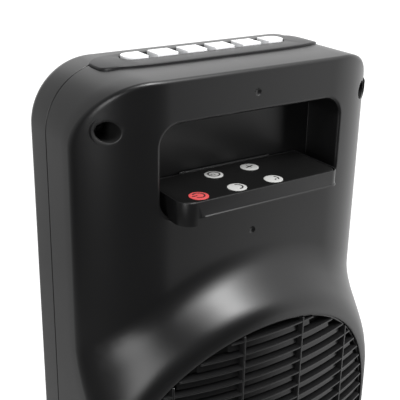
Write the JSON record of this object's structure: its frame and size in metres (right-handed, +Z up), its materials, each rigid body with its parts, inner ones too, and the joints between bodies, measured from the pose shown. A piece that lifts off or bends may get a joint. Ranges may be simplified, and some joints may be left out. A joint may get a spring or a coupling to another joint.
{
  "type": "tower heater",
  "caption": "Slim upright ceramic fan heater on a round swinging base, with a rear air drum and grille, keys on top and a remote control lying in a rear pocket.",
  "frame": {"origin": "centre of the base on the floor, on the axis that the tower swings about", "axes": "+Z up, -Y to the front where the warm air leaves, +Y to the rear with the pocket and the air drum"},
  "size_m": [0.236, 0.236, 0.5754],
  "materials": {
    "case_black": "satin black moulded plastic with a very fine grain",
    "grille_black": "satin black moulded plastic",
    "panel_black": "satin charcoal plastic",
    "inner_black": "plain black moulded plastic",
    "key_silver": "silver painted plastic",
    "button_white": "pale silver plastic",
    "button_red": "red plastic",
    "remote_face": "glossy black film",
    "remote_case": "satin black plastic",
    "window_smoked": "smoked clear plastic",
    "rubber_black": "soft black rubber",
    "screw_steel": "zinc plated steel",
    "motor_steel": "plated sheet steel",
    "cell_steel": "stainless steel",
    "plate_steel": "black painted sheet steel",
    "board_green": "green coated circuit board",
    "heater_resin": "tan heat resistant resin",
    "heater_aluminium": "bare corrugated fins"
  },
  "bodies": {
    "base": {"base_cover": "case_black", "base_plate": "plate_steel", "foot_ring": "rubber_black", "base_screw_1": "screw_steel", "base_screw_2": "screw_steel", "base_screw_3": "screw_steel", "swing_motor": "motor_steel", "pivot_washer": "screw_steel", "pivot_screw": "screw_steel"},
    "crank": {"swing_crank": "inner_black"},
    "tower": {"turntable": "case_black", "turntable_screw_1": "screw_steel", "turntable_screw_2": "screw_steel", "turntable_screw_3": "screw_steel", "turntable_screw_4": "screw_steel", "front_shell": "case_black", "rear_shell": "case_black", "case_screw_1": "screw_steel", "case_screw_2": "screw_steel", "case_screw_3": "screw_steel", "case_screw_4": "screw_steel", "front_grille": "grille_black", "rear_grille": "grille_black", "display_window": "window_smoked", "display_board": "board_green", "control_panel": "panel_black", "control_board": "board_green", "remote_tray": "case_black", "fan_shroud": "inner_black", "fan_motor": "motor_steel", "shroud_screw_1": "screw_steel", "shroud_screw_2": "screw_steel", "shroud_screw_3": "screw_steel", "shroud_screw_4": "screw_steel", "heater_frame": "heater_resin", "heater_core": "heater_aluminium", "thermal_cutout": "motor_steel", "main_board": "board_green", "tilt_switch_bracket": "inner_black", "cord_gland": "rubber_black"},
    "fan": {"fan_blade": "inner_black"},
    "tilt_sensor": {"tilt_weight": "screw_steel"},
    "key_1": {"key_1": "key_silver"},
    "key_2": {"key_2": "key_silver"},
    "key_3": {"key_3": "key_silver"},
    "key_4": {"key_4": "key_silver"},
    "key_5": {"key_5": "key_silver"},
    "key_6": {"key_6": "key_silver"},
    "remote": {"remote_bottom_case": "remote_case", "remote_top_case": "remote_case", "remote_face": "remote_face", "remote_board": "board_green", "coin_cell": "cell_steel"},
    "remote_button_1": {"remote_button_1": "button_red"},
    "remote_button_2": {"remote_button_2": "button_white"},
    "remote_button_3": {"remote_button_3": "button_white"},
    "remote_button_4": {"remote_button_4": "button_white"},
    "remote_button_5": {"remote_button_5": "button_white"},
    "cell_cover": {"cell_cover": "remote_case"}
  },
  "joints": [
    {"name": "tower_swing", "type": "hinge", "parent": "base", "child": "tower", "pos_m": [0, 0, 0.0243], "axis": [0, 0, 1], "range_deg": [-31.7, 31.7]},
    {"name": "crank_spin", "type": "hinge", "parent": "base", "child": "crank", "pos_m": [0.038, 0, 0.024], "axis": [0, 0, 1], "range_deg": [-90, 90]},
    {"name": "fan_spin", "type": "hinge", "parent": "tower", "child": "fan", "pos_m": [0, 0.02, 0.349], "axis": [0, 1, 0], "continuous": true},
    {"name": "tilt_swing", "type": "hinge", "parent": "tower", "child": "tilt_sensor", "pos_m": [-0.051, 0.01, 0.0642], "axis": [1, 0, 0], "range_deg": [-20, 20]},
    {"name": "key_1_press", "type": "slide", "parent": "tower", "child": "key_1", "axis": [0, 0, -1], "range_m": [0, 0.0008], "stiffness_N_per_m": 1500, "springref_m": -0.0002},
    {"name": "key_2_press", "type": "slide", "parent": "tower", "child": "key_2", "axis": [0, 0, -1], "range_m": [0, 0.0008], "stiffness_N_per_m": 1500, "springref_m": -0.0002},
    {"name": "key_3_press", "type": "slide", "parent": "tower", "child": "key_3", "axis": [0, 0, -1], "range_m": [0, 0.0008], "stiffness_N_per_m": 1500, "springref_m": -0.0002},
    {"name": "key_4_press", "type": "slide", "parent": "tower", "child": "key_4", "axis": [0, 0, -1], "range_m": [0, 0.0008], "stiffness_N_per_m": 1500, "springref_m": -0.0002},
    {"name": "key_5_press", "type": "slide", "parent": "tower", "child": "key_5", "axis": [0, 0, -1], "range_m": [0, 0.0008], "stiffness_N_per_m": 1500, "springref_m": -0.0002},
    {"name": "key_6_press", "type": "slide", "parent": "tower", "child": "key_6", "axis": [0, 0, -1], "range_m": [0, 0.0008], "stiffness_N_per_m": 1500, "springref_m": -0.0002},
    {"name": "remote_lift", "type": "slide", "parent": "tower", "child": "remote", "axis": [0, 0, 1], "range_m": [0, 0.025]},
    {"name": "remote_button_1_press", "type": "slide", "parent": "remote", "child": "remote_button_1", "axis": [0, 0, -1], "range_m": [0, 0.0004], "stiffness_N_per_m": 1500, "springref_m": -0.0002},
    {"name": "remote_button_2_press", "type": "slide", "parent": "remote", "child": "remote_button_2", "axis": [0, 0, -1], "range_m": [0, 0.0004], "stiffness_N_per_m": 1500, "springref_m": -0.0002},
    {"name": "remote_button_3_press", "type": "slide", "parent": "remote", "child": "remote_button_3", "axis": [0, 0, -1], "range_m": [0, 0.0004], "stiffness_N_per_m": 1500, "springref_m": -0.0002},
    {"name": "remote_button_4_press", "type": "slide", "parent": "remote", "child": "remote_button_4", "axis": [0, 0, -1], "range_m": [0, 0.0004], "stiffness_N_per_m": 1500, "springref_m": -0.0002},
    {"name": "remote_button_5_press", "type": "slide", "parent": "remote", "child": "remote_button_5", "axis": [0, 0, -1], "range_m": [0, 0.0004], "stiffness_N_per_m": 1500, "springref_m": -0.0002},
    {"name": "cell_cover_turn", "type": "hinge", "parent": "remote", "child": "cell_cover", "pos_m": [-0.0327, 0.03195, 0.5066], "axis": [0, 0, 1], "range_deg": [0, 40]}
  ],
  "couplings": [
    {"joint": "crank_spin", "follows": "tower_swing", "ratio": 2.839}
  ]
}
